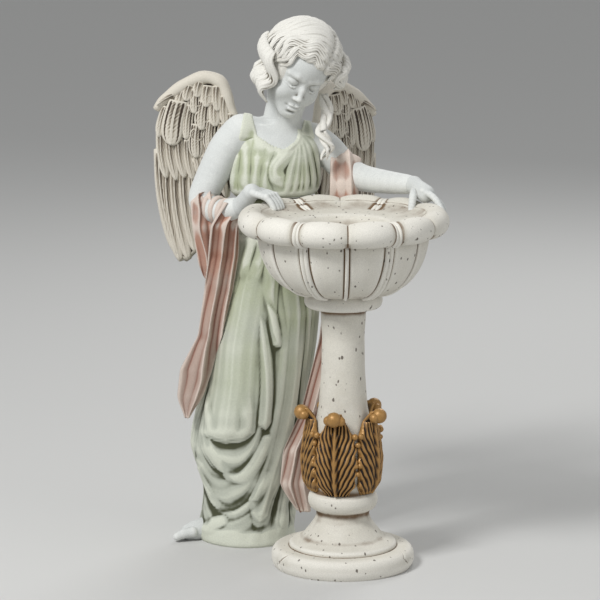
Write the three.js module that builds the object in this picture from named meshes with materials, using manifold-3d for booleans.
// Garden angel leaning over a bird bath, cast in resin-bound stone.
// Four castings are glued together: the figure, her two wings, and the bird bath with its pedestal.
// Millimetres, +Z up. The bath's axis is drawn at the origin, and the last step centres the whole on its base.
// Angles round an upright axis are counted from the front (-Y) towards +X.
import * as THREE from "three";
import { mergeVertices } from "three/addons/utils/BufferGeometryUtils.js";
import Module from "manifold-3d";

const wasm = await Module();
wasm.setup();

// Driving dimensions
const glueGap = 0.35; // left between two castings where they are glued
const figureHeight = 515; // ground to the crown of the hair
const bodyTurn = 14; // degrees that her body is turned towards the bath
const rimRadius = 99; // bath axis to the outside of a rim lobe
const rimRoll = 12.5; // half the thickness of the rolled rim
const rimHeight = 343; // ground to the top of the rim
const bowlDepth = 80; // top of the rim to the underside of the bowl
const columnRadius = 20; // at the waist of the column
const collarRadius = 37; // ring that carries the bowl
const plinthRadius = 68; // lowest disc of the pedestal
const plinthHeight = 19;
const floorDrop = 12; // top of the rim to the floor of the basin
const poolRadius = 36; // round hollow in the middle of the floor
const poolDepth = 14;
const leafCount = 5;
const leafReach = 37; // bath axis to the belly of a leaf
const leafFoot = 73; // ground to the foot of the leaves
const strapBead = 2.8; // half the thickness of a strap over the rim
const ribHeight = 2.4; // ribs down the outside of the bowl
const wingSpan = 95; // root to the outer edge of a folded wing
const bathTurn = 1.6; // degrees that the bath is turned on its axis

const rad = THREE.MathUtils.degToRad;
const vec = (x, y, z) => new THREE.Vector3(x, y, z);

// Solids from geometry, and back
function toSolid(geometry) {
  const bare = geometry.clone();
  bare.deleteAttribute("normal");
  bare.deleteAttribute("uv");
  const merged = mergeVertices(bare, 1e-4);
  const vertProperties = new Float32Array(merged.attributes.position.array);
  return new wasm.Manifold(
    new wasm.Mesh({ numProp: 3, vertProperties, triVerts: new Uint32Array(merged.index.array) }),
  );
}

function toGeometry(solid) {
  const mesh = solid.getMesh();
  const geometry = new THREE.BufferGeometry();
  geometry.setAttribute("position", new THREE.BufferAttribute(new Float32Array(mesh.vertProperties), 3));
  geometry.setIndex(new THREE.BufferAttribute(new Uint32Array(mesh.triVerts), 1));
  geometry.computeVertexNormals();
  return geometry;
}

function joined(solids) {
  return solids.reduce((whole, next) => whole.add(next));
}

// A closed skin over rings of equally many points, each ring anticlockwise as seen from the end.
// Each end is closed to a tip, or to the ring's own middle.
function skin(rings, startTip, endTip) {
  const count = rings[0].length;
  const middle = (ring) => ring.reduce((sum, p) => sum.add(p), vec(0, 0, 0)).divideScalar(count);
  const points = rings.flat();
  const start = points.push(startTip ?? middle(rings[0])) - 1;
  const end = points.push(endTip ?? middle(rings.at(-1))) - 1;
  const last = (rings.length - 1) * count;
  const faces = [];
  for (let i = 0; i < count; i++) {
    const next = (i + 1) % count;
    for (let row = 0; row < last; row += count) {
      faces.push(row + i, row + next, row + next + count, row + i, row + next + count, row + i + count);
    }
    faces.push(start, next, i, end, last + i, last + next);
  }
  const geometry = new THREE.BufferGeometry().setFromPoints(points);
  geometry.setIndex(faces);
  return toSolid(geometry);
}

// A round-ended limb through stations [x, y, z, radius]
function limb(stations, sides, steps) {
  const curve = new THREE.CatmullRomCurve3(stations.map(([x, y, z]) => vec(x, y, z)));
  const radii = new THREE.CatmullRomCurve3(stations.map((s) => vec(s[3], 0, 0)));
  const frames = curve.computeFrenetFrames(steps, false);
  const rings = [];
  for (let i = 0; i <= steps; i++) {
    const centre = curve.getPoint(i / steps);
    const radius = radii.getPoint(i / steps).x;
    rings.push(
      Array.from({ length: sides }, (_, k) => {
        const turn = (k / sides) * 2 * Math.PI;
        return centre
          .clone()
          .addScaledVector(frames.normals[i], radius * Math.cos(turn))
          .addScaledVector(frames.binormals[i], radius * Math.sin(turn));
      }),
    );
  }
  const tip = (t, sign, radius) => curve.getPoint(t).addScaledVector(curve.getTangent(t), sign * 0.6 * radius);
  return skin(rings, tip(0, -1, stations[0][3]), tip(1, 1, stations.at(-1)[3]));
}

// A hanging cloth through stations [x, y, z, half width, turn of its width round Z in degrees].
// It is pleated lengthwise, so its middle stands out.
const clothThickness = 4.5;

function cloth(stations, steps) {
  const route = new THREE.CatmullRomCurve3(stations.map(([x, y, z]) => vec(x, y, z)));
  const width = new THREE.CatmullRomCurve3(stations.map((s) => vec(s[3], s[4], 0)));
  const front = [[-1, 0.2], [-0.5, 0.7], [0, 1.6], [0.5, 0.7], [1, 0.2]];
  const back = [[1, -0.4], [0, -0.6], [-1, -0.4]];
  const rings = [];
  for (let i = 0; i <= steps; i++) {
    const centre = route.getPoint(i / steps);
    const { x: half, y: turn } = width.getPoint(i / steps);
    const wide = vec(Math.cos(rad(turn)), Math.sin(rad(turn)), 0);
    const deep = vec(0, 0, 0).crossVectors(route.getTangent(i / steps), wide).normalize();
    const at = ([across, rise]) =>
      centre.clone().addScaledVector(wide, across * half).addScaledVector(deep, rise * clothThickness);
    rings.push([...front, ...back].reverse().map(at));
  }
  return skin(rings);
}

// A point at an angle and radius round the upright axis through the origin
function around(angle, radius, z) {
  return vec(radius * Math.sin(rad(angle)), -radius * Math.cos(rad(angle)), z);
}

function roundBath(angle, radius, z) {
  return around(angle + bathTurn, radius, z);
}

// Bird bath
// Straps pinch the rim at 30 degrees either side of the front and the back, and plain valleys come between them.
// The two ends of the bath, at 90 degrees, run unbroken.
const strapAngles = [30, 150, 210, 330];
const valleyAngles = [0, 60, 120, 180, 240, 300];
const pinchWidth = 15; // degrees either side of a strap or valley

const rimMiddle = rimRadius - rimRoll; // bath axis to the middle of the roll
const rollHeight = rimHeight - rimRoll;
const bowlFoot = rimHeight - bowlDepth;
const floorHeight = rimHeight - floorDrop;

function degreesFrom(angle, at) {
  return Math.abs(((angle - at + 540) % 360) - 180);
}

function rimPinch(angle) {
  const depthAt = (places, depth) =>
    Math.max(...places.map((at) => depth * Math.max(0, 1 - degreesFrom(angle, at) / pinchWidth) ** 1.5));
  return Math.max(depthAt(strapAngles, 5.5), depthAt(valleyAngles, 4));
}

// Ribs every 30 degrees down the bowl, each between two shallow grooves
function bowlRib(angle) {
  const off = degreesFrom(angle % 30, 0);
  const near = Math.min(off, 30 - off);
  return near < 4 ? ribHeight : near < 10 ? -ribHeight / 2 : ribHeight / 4;
}

function turnedRings(profile, count, shape) {
  return profile.map(([radius, z, part]) =>
    Array.from({ length: count }, (_, k) => {
      const angle = (k / count) * 360;
      const [r, up] = shape ? shape(angle, radius, z, part) : [radius, z];
      return roundBath(angle, r, up);
    }),
  );
}

function basin(grow) {
  const bowlTop = rimMiddle - 7;
  const bowlRise = rollHeight - rimRoll * 0.8 - bowlFoot;
  const bowlCurve = [0, 0.3, 0.55, 0.8, 1].map((t) => [
    collarRadius - 2 + (bowlTop - collarRadius + 2) * Math.sin((t * Math.PI) / 2) + grow,
    bowlFoot + bowlRise * (1 - Math.cos((t * Math.PI) / 2)),
    t > 0 ? "bowl" : "plain",
  ]);
  const roll = [-75, -35, 5, 45, 85, 130].map((turn) => [
    rimMiddle + (rimRoll + grow) * Math.cos(rad(turn)),
    rollHeight + (rimRoll + grow) * Math.sin(rad(turn)),
    "roll",
  ]);
  const inside = [
    [rimMiddle - rimRoll * 1.5, floorHeight + 2.5],
    [poolRadius + 8, floorHeight],
    [poolRadius, floorHeight - 1.5],
    [poolRadius * 0.66, floorHeight - poolDepth * 0.75],
    [poolRadius * 0.3, floorHeight - poolDepth],
  ];
  const shape = (angle, radius, z, part) => {
    if (part === "bowl") return [radius + bowlRib(angle), z];
    if (part !== "roll") return [radius, z];
    const inwards = (radius - rimMiddle) / rimRoll;
    const upwards = (z - rollHeight) / rimRoll;
    const pinch = rimPinch(angle);
    return [radius - pinch * Math.max(0.2, inwards), z - pinch * 0.6 * Math.max(0, upwards)];
  };
  return skin(turnedRings([...bowlCurve, ...roll, ...inside], 48, shape));
}

// A strap is a bead that crosses the pinched rim from the rib outside to the floor inside.
function strap(angle) {
  const lift = rimRoll - 2.5;
  const path = [-50, 10, 70, 130, 160].map((turn) => {
    const radius = rimMiddle - 2.5 + lift * Math.cos(rad(turn));
    return [...roundBath(angle, radius, rollHeight + lift * Math.sin(rad(turn))).toArray(), strapBead];
  });
  return limb(path, 5, 5);
}

function pedestal(grow) {
  const ringRadius = leafReach - 3.7;
  const profile = [
    [plinthRadius - 2.5, 0],
    [plinthRadius, plinthHeight * 0.5],
    [plinthRadius - 3.5, plinthHeight],
    [plinthRadius - 16, plinthHeight],
    [plinthRadius - 17, plinthHeight + 4],
    [plinthRadius - 29, plinthHeight + 9],
    [ringRadius - 3, plinthHeight + 20],
    [ringRadius - 8.6, leafFoot - 24],
    [ringRadius - 1, leafFoot - 15],
    [ringRadius, leafFoot - 7],
    [ringRadius - 4, leafFoot],
    [leafReach - 5, leafFoot + 22],
    [leafReach - 8, leafFoot + 50],
    [columnRadius + 3, leafFoot + 82],
    [columnRadius, bowlFoot - 42],
    [columnRadius + 1.5, bowlFoot - 17],
    [collarRadius - 4, bowlFoot - 14],
    [collarRadius, bowlFoot - 7],
    [collarRadius - 3, bowlFoot + 2],
  ];
  return skin(turnedRings(profile.map(([radius, z]) => [radius + grow, z - (z === 0 ? grow : 0)]), 20));
}

// A gilded acanthus leaf stands round the foot of the column and curls over at its tip.
const firstLeafAngle = -15;

function leaf(angle, grow) {
  const rows = [
    [0, -7, 13],
    [10, -1, 21],
    [32, 1, 22.5],
    [56, -2, 19.5],
    [70, -5, 10],
    [80, 2, 7],
  ];
  const face = (lift, across) =>
    rows.map(([up, out, half]) =>
      across.map((w) => {
        const radius = leafReach + out + lift + grow - 2.5 * Math.abs(w); // the midrib stands out
        const spread = (w * half) / (leafReach + out);
        return roundBath(angle + THREE.MathUtils.radToDeg(spread), radius, leafFoot + up);
      }),
    );
  const front = face(1, [-1, -0.5, 0, 0.5, 1]);
  const back = face(-5, [1, 0, -1]);
  return skin(front.map((row, i) => [...row, ...back[i]]));
}

function birdBath(grow = 0) {
  const leaves = Array.from({ length: leafCount }, (_, i) => leaf(firstLeafAngle + (i * 360) / leafCount, grow));
  return joined([pedestal(grow), basin(grow), ...leaves, ...strapAngles.map(strap)]);
}

// Figure
// Her stations were drawn for a figure 515 high, and are kept as shares of her own height.
const drawnHeight = 515;
const share = figureHeight / drawnHeight;
const scaled = (stations) => stations.map((s) => s.map((v, i) => (i < 4 ? v * share : v)));

// Gown and body: [z, middle x, middle y, half width, half depth]
const bodyLevels = [
  [0, -94, 106, 47, 52],
  [8, -95, 106, 49, 53],
  [20, -93, 106, 46, 48],
  [34, -92, 106, 43, 45],
  [48, -91, 106, 43, 44],
  [62, -91, 106, 46, 45],
  [76, -92, 107, 50, 46],
  [92, -92, 108, 54, 47],
  [110, -90, 108, 54, 46],
  [132, -87, 108, 52, 46],
  [160, -82, 109, 49, 45],
  [195, -76, 110, 48, 43],
  [228, -70, 111, 45, 40],
  [262, -68, 112, 39, 36],
  [296, -67, 112, 36, 32],
  [336, -66, 112, 37, 30],
  [341, -66, 112, 42, 34],
  [358, -66, 112, 44, 34],
  [376, -65, 113, 43, 32],
  [391, -64, 115, 42, 28],
  [402, -65, 116, 35, 22],
  [410, -67, 116, 25, 17],
];

// Folds of the cloth as ridges that follow a route over the body: height, half width, then [angle, z] points
const folds = [
  [8, 22, [[-12, 290], [-28, 230], [-34, 165], [-30, 115]]],
  [7, 6, [[14, 325], [18, 260], [22, 180], [26, 110], [14, 45], [-8, 10]]],
  [7, 6, [[32, 325], [40, 260], [48, 180], [52, 100], [38, 40], [18, 8]]],
  [8, 7, [[54, 325], [66, 240], [76, 160], [78, 90], [68, 20]]],
  [9, 8, [[84, 325], [96, 240], [104, 160], [106, 90], [100, 10]]],
  [5, 5, [[-4, 325], [-4, 270], [4, 215]]],
  [7, 8, [[-95, 84], [-60, 48], [-25, 34], [8, 52], [26, 92]]],
  [6, 8, [[-84, 116], [-58, 86], [-26, 76], [2, 92], [16, 128]]],
  [6, 7, [[-88, 200], [-92, 130], [-96, 80], [-112, 20]]],
  [5, 5, [[37, 400], [18, 375], [6, 342]]],
  [5, 5, [[38, 398], [30, 372], [27, 342]]],
  [5, 5, [[40, 396], [44, 370], [47, 342]]],
  [5, 5, [[46, 396], [62, 370], [70, 342]]],
  [5, 5, [[-34, 402], [-26, 375], [-30, 342]]],
];
const backPleats = 11;

function distanceToRoute(point, route) {
  let nearest = Infinity;
  for (let i = 1; i < route.length; i++) {
    const line = new THREE.Line3(route[i - 1], route[i]);
    nearest = Math.min(nearest, line.closestPointToPoint(point, true, vec(0, 0, 0)).distanceTo(point));
  }
  return nearest;
}

// How far the cloth stands out at an angle and height, with angles unrolled to a length at this radius
function foldLift(angle, z, radius) {
  const unrolled = (a, up) => vec(rad(a) * radius, up, 0);
  const here = unrolled(angle, z);
  const front = folds.reduce((lift, [height, half, points]) => {
    const away = distanceToRoute(here, points.map(([a, up]) => unrolled(a, up * share)));
    return Math.max(lift, height * Math.exp(-((away / half) ** 2)));
  }, 0);
  const behind = Math.max(0, -Math.cos(rad(angle))) * Math.max(0, 1 - z / (330 * share));
  return front + 4 * behind * Math.cos(rad(angle) * backPleats);
}

function body(grow = 0) {
  const sides = 36;
  const rings = scaled(bodyLevels).map(([z, x, y, wide, deep]) =>
    Array.from({ length: sides }, (_, k) => {
      const angle = (k / sides) * 360 - 180;
      const lift = foldLift(angle, z, (wide + deep) / 2) + grow;
      const flat = vec((wide + lift) * Math.sin(rad(angle)), -(deep + lift) * Math.cos(rad(angle)), 0);
      return flat.applyAxisAngle(vec(0, 0, 1), rad(bodyTurn)).add(vec(x, y, z));
    }),
  );
  return skin(rings);
}

// The bare right foot comes out under the hem.
function foot() {
  const toes = Array.from({ length: 4 }, (_, i) =>
    limb(scaled([[-146, 80 + i * 6.5, 9, 5], [-161 + i * 2.5, 76 + i * 6.5, 5.5, 3.8]]), 5, 1),
  );
  return joined([limb(scaled([[-150, 88, 7, 8], [-136, 92, 10, 10], [-116, 100, 12, 12]]), 8, 2), ...toes]);
}

// Head, drawn upright with its skull's middle at the origin, then bowed towards the bath
const headAt = vec(-42, 97, 464);
const headPose = new THREE.Matrix4()
  .makeRotationY(rad(19))
  .multiply(new THREE.Matrix4().makeRotationZ(rad(22)))
  .multiply(new THREE.Matrix4().makeRotationX(rad(22)));

function onHead(x, y, z) {
  return vec(x, y, z).applyMatrix4(headPose).add(headAt).multiplyScalar(share);
}

function headLimb(stations, sides, steps) {
  return limb(stations.map(([x, y, z, radius]) => [...onHead(x, y, z).toArray(), radius * share]), sides, steps);
}

// Chin to crown: [z, middle y, half width, half depth]
const headLevels = [
  [-42, -17, 7, 7],
  [-38, -15, 13, 12],
  [-28, -10, 19, 19],
  [-16, -6, 23, 25],
  [-4, -3, 25.5, 29],
  [8, -1, 27, 32],
  [20, 0, 26, 31],
  [32, 0, 18, 22],
];

function head() {
  const rings = headLevels.map(([z, y, wide, deep]) =>
    Array.from({ length: 14 }, (_, k) => {
      const p = around((k / 14) * 360, 1, 0);
      return onHead(p.x * wide, y + p.y * deep, z);
    }),
  );
  const nose = headLimb([[0, -30, 1, 2.4], [0, -34.5, -12, 3.6]], 5, 1);
  const neck = limb([[...onHead(0, 6, -26).toArray(), 14 * share], ...scaled([[-61, 116, 405, 18]])], 9, 1);
  return joined([skin(rings, undefined, onHead(0, 0, 37)), nose, neck]);
}

// Hair: strands leave a parting, high on her left, cross the cap side by side and end in curls.
const hairCap = { across: 36, along: 36, up: 39, middle: 7, back: 4 };
const parting = 32; // degrees from the crown towards her left
const strandDepth = 4;

function capPoint(turn, forward, lift = 0) {
  const ring = Math.sqrt(1 - (forward / hairCap.along) ** 2);
  const out = hairCap.across * ring + lift;
  const up = hairCap.up * ring + lift;
  return [out * Math.sin(rad(turn)), hairCap.back - forward, hairCap.middle + up * Math.cos(rad(turn))];
}

function cap() {
  const rows = 11;
  const sides = 16;
  const rings = Array.from({ length: rows }, (_, row) => {
    const forward = -hairCap.along * Math.cos((Math.PI * (row + 0.6)) / rows);
    return Array.from({ length: sides }, (_, k) => {
      const turn = parting - (k * 360) / sides;
      const groove = k === 0 ? -strandDepth : strandDepth * (row % 2 ? -0.5 : 0.5);
      return onHead(...capPoint(turn, forward, groove));
    });
  });
  return skin(rings);
}

function curl(forward, side, size) {
  const [x, y, z] = capPoint(side > 0 ? 80 : -98, forward, -4);
  const swing = side * size;
  return headLimb(
    [
      [x, y, z + 6, 7],
      [x + swing, y + 3, z - 9, 9.5],
      [x, y + 7, z - 23, 8],
      [x + swing * 0.8, y + 3, z - 35, 4],
    ],
    6,
    3,
  );
}

function hair() {
  const curls = [20, 4, -13].flatMap((forward, i) => [curl(forward, -1, 5 + i), curl(forward, 1, 2)]);
  const nape = [-17, 0, 17].map((x) => headLimb([[x, 26, 12, 10], [x * 1.1, 32, -8, 10], [x, 24, -31, 5]], 6, 2));
  const chestLock = limb(scaled([[-16, 104, 434, 7], [-14, 99, 414, 7], [-19, 90, 398, 6], [-12, 86, 382, 3]]), 6, 4);
  return joined([cap(), ...curls, ...nape, chestLock]);
}

// Hands rest on the rim, so they take their places from it.
function rimPoint(angle, out, up) {
  return roundBath(angle, rimMiddle + out, rollHeight + up);
}

function digit(points, thickness) {
  return limb(points.map(([angle, out, up]) => [...rimPoint(angle, out, up).toArray(), thickness]), 5, 3);
}

function palm(from, wrist) {
  return limb([[...from.toArray(), 9], [...wrist.toArray(), 8]], 8, 1);
}

// The right hand lies across the roll, with the fingers over its inner side.
const rightHandAngle = 236;
const rightPalm = rimPoint(rightHandAngle + 2, 14, rimRoll + 7);
const rightWrist = rimPoint(rightHandAngle - 1.6, 31.7, 3.5);

function rightHand() {
  const fingers = [-3, -1, 1, 3].map((place) => {
    const angle = rightHandAngle + place * 1.75;
    const reach = 1 - 0.03 * Math.abs(place);
    return digit([[angle + 1.5, 10, rimRoll + 7], [angle, -2, rimRoll + 6], [angle, -14 * reach, 8]], 3.5);
  });
  const thumb = digit([[235, 16, rimRoll + 4], [230, 8, rimRoll + 4], [227, 0, rimRoll + 3]], 4);
  return joined([...fingers, thumb, palm(rightPalm, rightWrist)]);
}

// The left hand lies along the roll, with the fingers down its outer side and the thumb inside.
const leftPalm = rimPoint(119, 5, rimRoll + 6);
const leftWrist = rimPoint(134.6, 11.8, rimRoll + 11);
const leftForearm = rimPoint(154.7, 12.9, rimRoll + 11);

function leftHand() {
  const fingers = [0, 1, 2, 3].map((i) => {
    const knuckle = [118, 0.5 + i * 3.5, rimRoll + 9 - i * 2];
    const joint = [110, 6 + i * 3, rimRoll + 6 - i * 3];
    const end = [104 + i, 11 + i * 2, 4 - i * 4];
    return digit([knuckle, joint, end], 3.5);
  });
  const thumb = digit([[124, -4, rimRoll + 7], [117, -11, rimRoll + 2], [114, -14, 2]], 3.8);
  return joined([...fingers, thumb, palm(leftPalm, leftWrist)]);
}

// Shoulders and elbows are of her own height, and the wrists go to the rim.
function arms() {
  const right = [
    [-97, 106, 402, 15],
    [-112, 103, 387, 15.5],
    [-127, 100, 356, 14],
    [-138, 95, 333, 12],
    [-120, 80, 325, 11],
  ];
  const left = [
    [-30, 124, 391, 15],
    [-14, 123, 382, 14.5],
    [0, 118, 366, 13],
    [14, 109, 356, 12],
  ];
  const leftEnd = [[...leftForearm.toArray(), 10.5], [...leftWrist.toArray(), 8]];
  return joined([
    limb([...scaled(right), [...rightWrist.toArray(), 8.5]], 8, 8),
    limb([...scaled(left), ...leftEnd], 8, 7),
  ]);
}

// The scarf is wound round the right forearm and hangs in a long tail, and falls from the left elbow to the ground.
const scarfRuns = [
  [[-106, 74, 338, 12, 60], [-112, 68, 316, 15, 30], [-114, 76, 285, 15, 12], [-119, 80, 250, 14, 8],
    [-128, 82, 205, 11.5, 4], [-141, 82, 172, 16, 8], [-147, 82, 146, 13, 8], [-151, 84, 124, 6, 8]],
  [[-126, 98, 346, 10, 60], [-134, 82, 338, 12, 20], [-132, 78, 312, 12, 10], [-128, 84, 276, 11, 5],
    [-122, 90, 250, 8, 0]],
  [[4, 130, 352, 13, 10], [4, 108, 377, 15, 10], [2, 96, 350, 14, 10], [2, 102, 290, 14, 5], [-8, 90, 200, 14, 0],
    [-26, 72, 132, 14, 0], [-42, 62, 96, 15, 5], [-45, 58, 64, 15, 5], [-38, 60, 36, 13, 5]],
];

// Each wing is glued on a boss on her shoulder blade.
const wingRoots = { right: [-94, 138, 398], left: [-34, 150, 386] };

function boss([x, y, z], towards, grow = 0) {
  return limb(scaled([[x + towards * 9, y - 22, z - 2, 16 + grow], [x, y + grow, z, 13 + grow]]), 8, 1);
}

function figure() {
  const parts = [body(), foot(), head(), hair(), arms(), rightHand(), leftHand()];
  const scarf = scarfRuns.map((stations) => cloth(scaled(stations), 9));
  const bosses = [boss(wingRoots.right, 1), boss(wingRoots.left, -1)];
  const wide = 2 * figureHeight;
  const belowGround = toSolid(new THREE.BoxGeometry(wide, wide, wide).translate(0, 0, -wide / 2));
  return joined([...parts, ...scarf, ...bosses]).subtract(belowGround).subtract(birdBath(glueGap));
}

// Wings
// Drawn flat in shares of the span: u runs outwards from the root and v upwards. The feathers lie in rows like
// shingles, each row a share of the way from the top edge to the bottom edge, and each row's tips stand out.
const wingTop = [0.05, 0.4, 0.55, 0.58, 0.52, 0.42, 0.26, 0.04];
const wingBottom = [-0.35, -0.66, -0.9, -1.12, -1.32, -1.44, -1.38, -1.0];
const topRoll = [[0, 1], [0.03, 6.5], [0.08, 7], [0.12, 3]]; // share of the height, half thickness
const featherRows = [0.3, 0.5, 0.72, 1]; // share of the height that each row ends at
const featherTip = 0.05; // how far a feather's tip hangs below its corners
const feathersAcross = 6;
const wingThickness = 3;
const featherStep = 3.4;
const wingCurl = 11; // how far the outer edge comes forward

function edgeAt(heights, s) {
  const at = s * (heights.length - 1);
  const low = Math.min(Math.floor(at), heights.length - 2);
  return heights[low] + (heights[low + 1] - heights[low]) * (at - low);
}

function wing([x, y, z], heading, handed) {
  const out = around(heading + 90, 1, 0);
  const front = vec(0, 0, 0).crossVectors(out, vec(0, 0, 1)).multiplyScalar(handed);
  const place = (u, v, lift) =>
    vec(x, y, z)
      .multiplyScalar(share)
      .addScaledVector(out, u * wingSpan)
      .addScaledVector(front, wingCurl * (u - 0.15) ** 2 + lift)
      .add(vec(0, 0, v * wingSpan));
  const shares = Array.from({ length: 2 * feathersAcross + 1 }, (_, i) => i / (2 * feathersAcross));
  const ring = (down, half) => {
    const at = (s, i, side) => {
      const tip = down > 0.2 && i % 2 ? featherTip : 0;
      const u = 0.02 + s * (0.96 - 0.1 * down ** 6);
      const v = edgeAt(wingTop, s) + (edgeAt(wingBottom, s) - edgeAt(wingTop, s)) * down - tip;
      const thinned = i === 0 || i === shares.length - 1 ? 0.4 : 1;
      return place(u, v, side * thinned * half);
    };
    const face = shares.map((s, i) => at(s, i, 1));
    const back = shares.map((s, i) => at(s, i, -1)).reverse();
    const points = [...face, ...back];
    return handed < 0 ? points : points.reverse();
  };
  const rows = featherRows.flatMap((end, i) => {
    const start = i === 0 ? topRoll.at(-1)[0] : featherRows[i - 1];
    const step = i === featherRows.length - 1 ? 0 : featherStep;
    return [ring(start + 0.005, wingThickness), ring((start + end) / 2, wingThickness + step * 0.6),
      ring(end, wingThickness + step)];
  });
  const seat = limb([[...place(0.16, -0.06, 0).toArray(), 10], [...place(-0.05, -0.03, 0).toArray(), 12]], 7, 1);
  return skin([...topRoll.map(([down, half]) => ring(down, half)), ...rows]).add(seat);
}

function node(name, solid, color) {
  const material = new THREE.MeshStandardMaterial({ color, roughness: 0.85, metalness: 0 });
  const mesh = new THREE.Mesh(toGeometry(solid), material);
  mesh.name = name;
  return mesh;
}

// A wing stops short of her back and of the boss that it is glued on.
function fittedWing(root, heading, handed, towards) {
  return wing(root, heading, handed).subtract(body(glueGap)).subtract(boss(root, towards, glueGap));
}

const colours = { figure: 0xd3d6ca, wing: 0xb9b0a0, bath: 0xdad6c8 };

const whole = new THREE.Group();
whole.add(
  node("angel_figure", figure(), colours.figure),
  node("right_wing", fittedWing(wingRoots.right, 167, -1, 1), colours.wing),
  node("left_wing", fittedWing(wingRoots.left, 46, 1, -1), colours.wing),
  node("bird_bath", birdBath(), colours.bath),
);

// Centre the footprint on the origin
const box = new THREE.Box3().setFromObject(whole);
const centre = box.getCenter(vec(0, 0, 0));
whole.position.set(-centre.x, -centre.y, -box.min.z);

export default whole;
